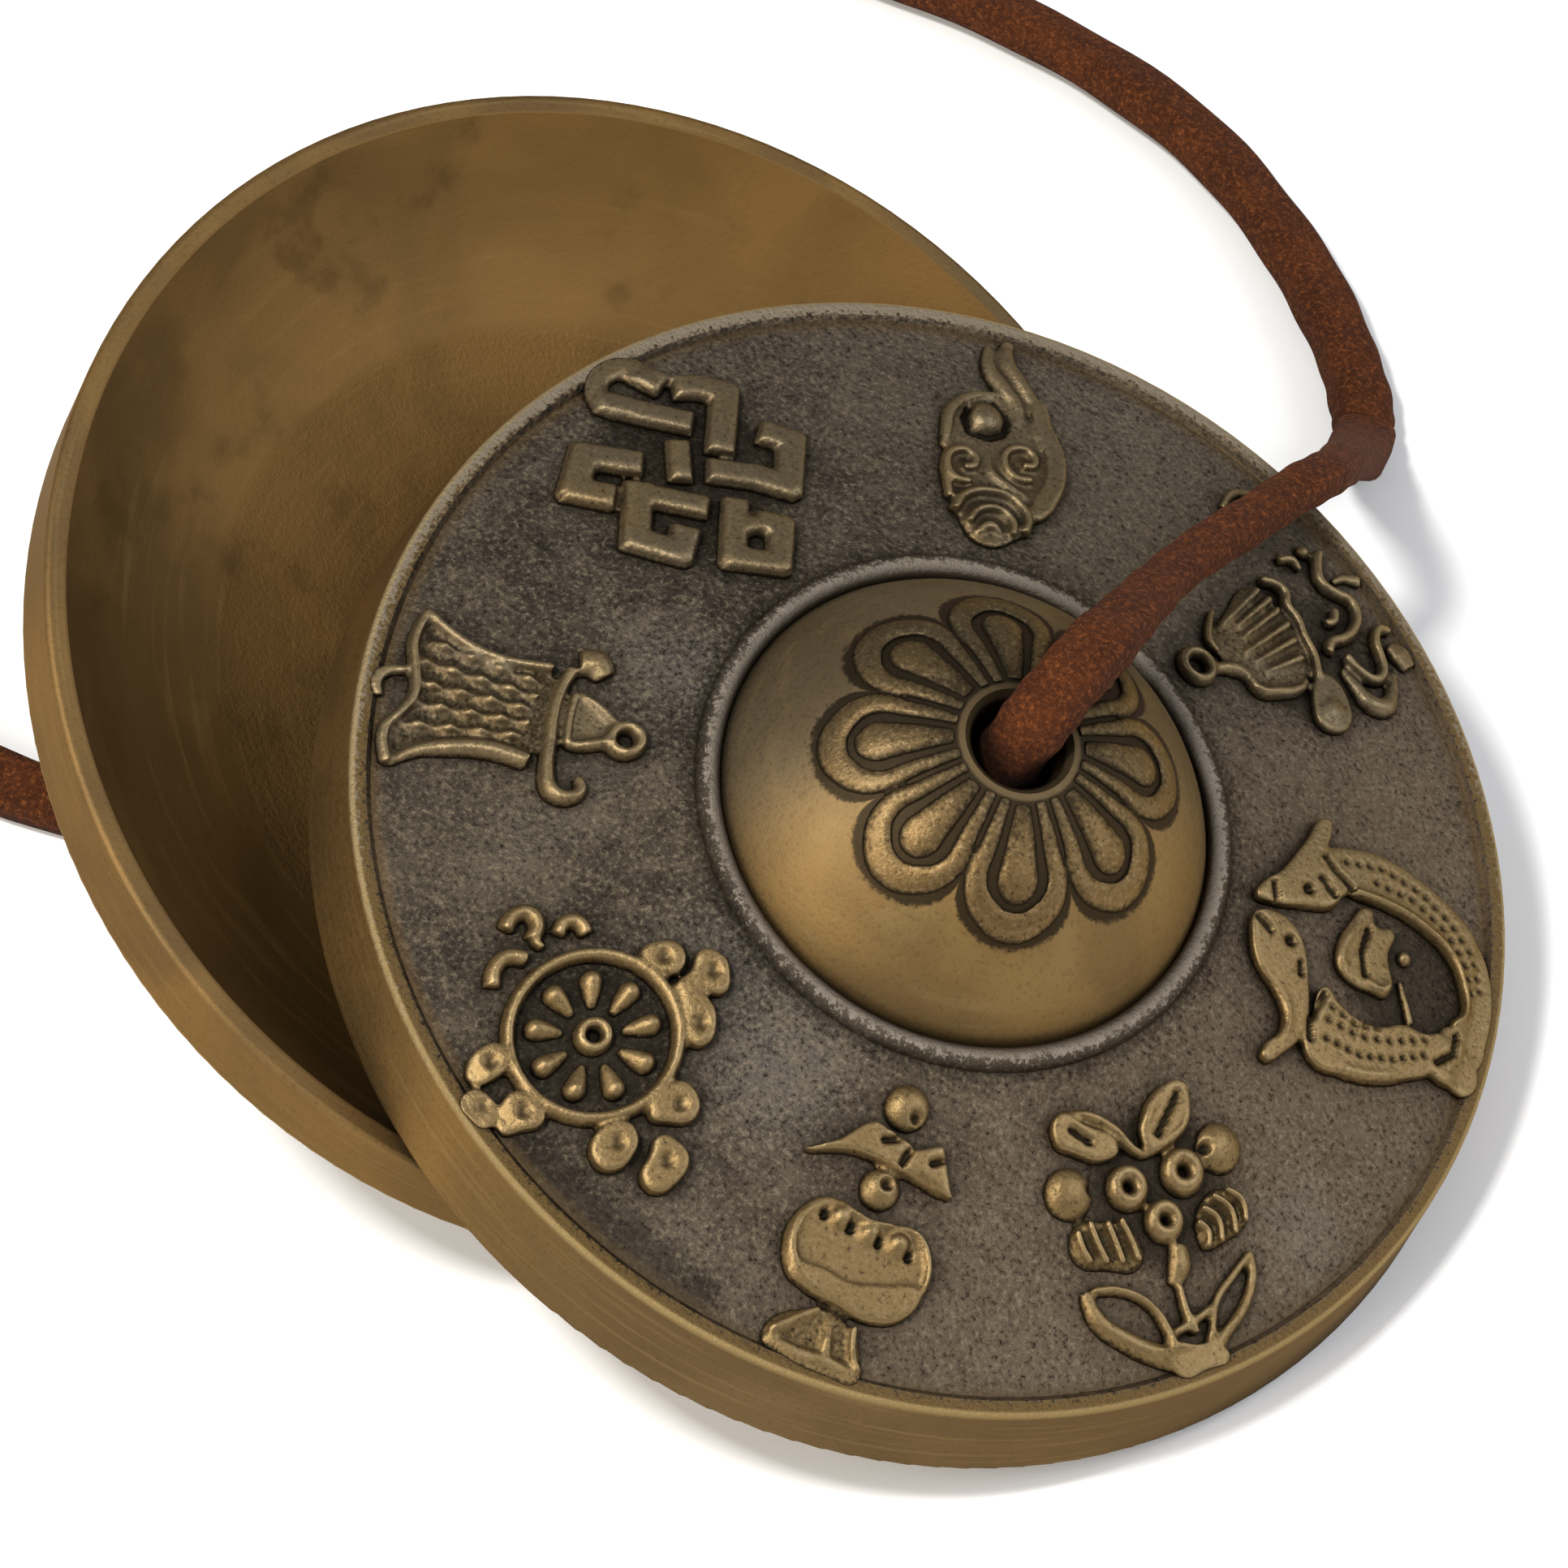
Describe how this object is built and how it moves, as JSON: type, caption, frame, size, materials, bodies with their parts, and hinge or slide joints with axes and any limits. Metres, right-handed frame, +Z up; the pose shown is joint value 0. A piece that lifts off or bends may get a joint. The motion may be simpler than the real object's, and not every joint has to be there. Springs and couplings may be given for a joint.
{
  "type": "tingsha cymbals",
  "caption": "Pair of thick cast bell-metal hand cymbals with a domed, holed boss and relief ornament, joined by a suede thong, lying lip on lip.",
  "frame": {"origin": "on the floor, under the middle of the box round the two cymbals without the thong", "axes": "+Z up; +X the way that both cymbals lean, from the raised lip of the lower cymbal to the resting lip of the upper one"},
  "size_m": [0.1478, 0.11, 0.0416],
  "materials": {
    "bell_metal": "cast bell metal, dark sand-cast plate, satin boss, wall and hollow",
    "suede": "matt reddish-brown suede thong"
  },
  "bodies": {
    "thong": {"strap_loop": "suede", "strap_drop": "suede", "lower_knot": "suede"},
    "lower_disc": {"lower_cymbal": "bell_metal"},
    "upper_thong": {"strap_over_plate": "suede", "upper_knot": "suede"},
    "upper_disc": {"upper_cymbal": "bell_metal"}
  },
  "joints": [
    {"name": "lower_spin", "type": "hinge", "parent": "thong", "child": "lower_disc", "pos_m": [-0.00991, 0, 0.02285], "axis": [-0.4846, 0, -0.8747], "continuous": true},
    {"name": "upper_tip", "type": "hinge", "parent": "thong", "child": "upper_thong", "pos_m": [0.0415, 0, 0], "axis": [0, 1, 0], "range_deg": [0, 25], "deforming": ["strap_drop"]},
    {"name": "upper_spin", "type": "hinge", "parent": "upper_thong", "child": "upper_disc", "pos_m": [0.00901, 0, 0.01411], "axis": [0.3976, 0, 0.9176], "continuous": true}
  ]
}
